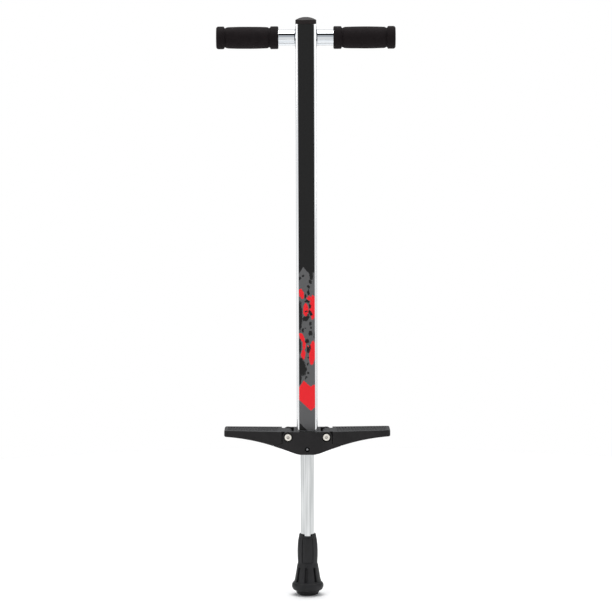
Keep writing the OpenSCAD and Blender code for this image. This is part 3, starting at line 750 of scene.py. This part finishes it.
def bezier(a, b, c, d, steps):
    """Points of a cubic curve after its first."""
    points = []
    for i in range(1, steps + 1):
        t = i / steps
        points.append(tuple((1 - t) ** 3 * a[k] + 3 * (1 - t) ** 2 * t * b[k] + 3 * (1 - t) * t * t * c[k]
                            + t ** 3 * d[k] for k in range(2)))
    return points


def tip_profile(high):
    """Radii and heights from the middle of the sole, round the outside, to the bore at the top."""
    mm = [(0, 0), (5, 0), (10, 0), (14, 0)]
    mm += bezier((14, 0), (17.5, 0), (20.2, 2.7), (21, 7.1), 6)
    mm += [(21.7, 7.7)]
    mm += arc((19.2, 16.8), 9.5, -52, 36, 10)
    mm += [(26.1, 23), (25.2, 23.3), (24.7, 24.2), (24.3, 25.2), (24, 26.4), (23.2, 29)]
    mm += [(23.2 - 4.3 * i / 8, 29 + 25.9 * i / 8) for i in range(1, 9)]
    mm += [(18.4, 56.4), (17.8, 58), (17.7, 59.9), (17.8, 61.3)]
    mm += bezier((17.8, 61.3), (18.9, 75), (18.7, 93), (16.3, high - 7.4), 10)
    mm += [(16, high - 6), (15.7, high - 3.6)]
    mm += arc((14.1, high - 1), 1, 0, 90, 4)
    mm += [(12.9, high), (12.75, high - 0.5), (12.75, high - 3.6), (12.75, 90)]
    return [(r * MM, z * MM) for r, z in mm]


def patch(bm, middle_angle, half_angle, low, high):
    """Faces on the tip's outside between two heights and two angles, in degrees and millimetres."""
    chosen = []
    for face in bm.faces:
        centre = face.calc_center_median()
        flat = Vector((centre.x, centre.y))
        turn = (Vector((0, -1)).angle_signed(flat) if flat.length > 0.001 else 0) / radians(1)
        off = (turn - middle_angle + 180) % 360 - 180
        if abs(off) < half_angle and low * MM < centre.z < high * MM and flat.length > INSIDE_TIP:
            chosen.append(face)
    return chosen


def rubber_tip():
    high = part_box("rubber_tip")[1].z / MM
    bm = bmesh.new()
    turned(bm, [(r, 0, z) for r, z in tip_profile(high)], (0, 0, 0), (0, 0, 1), TIP_STEPS)
    bmesh.ops.recalc_face_normals(bm, faces=bm.faces)
    for quarter in range(4):
        panel = patch(bm, 90 * quarter, 33, 59.9, high - 6)
        inner = set(patch(bm, 90 * quarter, 29.5, 61.3, high - 7.4))
        border = [f for f in panel if f not in inner]
        bmesh.ops.inset_region(bm, faces=border, thickness=0.25 * MM, depth=-1.1 * MM, use_even_offset=True)
    for eighth in range(8):
        slot = patch(bm, 45 * eighth + 8, 7.5, 25.2, 51.5)
        for thickness, depth in ((0.3, -0.4), (0.3, -3.4)):
            bmesh.ops.inset_region(bm, faces=slot, thickness=thickness * MM, depth=depth * MM,
                                   use_even_offset=True)
    floor_z = (high - 3.6) * MM
    for cut in NOTCH_CUTS:
        collar = [f for f in bm.faces if f.calc_center_median().z > floor_z]
        around = {g for f in collar for g in (f, *f.edges, *f.verts)}
        bmesh.ops.bisect_plane(bm, geom=list(around), plane_co=(cut * MM, 0, 0), plane_no=(1, 0, 0), dist=1e-7)
    for vert in bm.verts:
        if vert.co.z > floor_z and abs(vert.co.x) < NOTCH_HALF:
            vert.co.z = floor_z
    return round_edges(
        finish_piece("rubber_foot", bm, tip_rubber, "plunger", ["rubber_tip"], sharp=40),
        0.35 * MM, 2, 38)


rubber_tip()


# %% [markdown]
# ## The springs
#
# The main spring and the leaf springs behind the snap buttons change shape when the stick is used. The main
# spring is a circle of wire that is spun and lifted at once, which makes a screw. Each spring then gets a mesh
# of its own, and the travel of its joint is looked up and printed; the spring itself keeps its shape.

# %% Spring pieces
TURNS = 36
TURN_STEPS = 24
WIRE = 4.6 * MM


def gives_way(piece, joint, length):
    """Looks up the joint's whole travel, gives the spring a mesh of its own and prints the travel against its
    length.
    """
    travel = next(entry["range_m"][1] for entry in frame["joints"] if entry["name"] == joint)
    1 - travel / length
    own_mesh(piece)
    print(piece.name, "gives", round(travel / MM, 1), "mm of", round(length / MM, 1))


def coil_spring():
    low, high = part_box("main_spring")
    rise = (high.z - low.z - WIRE) / (TURNS * TURN_STEPS)
    section = Matrix.Translation((high.x - WIRE / 2, 0, low.z + WIRE / 2)) @ Matrix.Rotation(pi / 2, 4, "X")
    bm = bmesh.new()
    bmesh.ops.create_circle(bm, segments=10, radius=WIRE / 2, matrix=section)
    bmesh.ops.spin(bm, geom=bm.verts[:] + bm.edges[:], cent=(0, 0, 0), axis=(0, 0, 1), dvec=(0, 0, rise),
                   angle=2 * pi * TURNS, steps=TURNS * TURN_STEPS)
    bmesh.ops.holes_fill(bm, edges=[edge for edge in bm.edges if edge.is_boundary], sides=0)
    spring = finish_piece("coil_spring", bm, spring_wire, "frame", ["main_spring"], sharp=60)
    gives_way(spring, "plunger_slide", high.z - low.z)


def leaf_spring(side_name):
    node = side_name + "_button_spring"
    low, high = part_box(node)
    leaf = softened(side_name + "_leaf_spring", node, spring_wire, side_name + "_handle",
                    0.1 * MM)
    gives_way(leaf, side_name + "_button_press", high.y - low.y)


coil_spring()
leaf_spring("left")
leaf_spring("right")
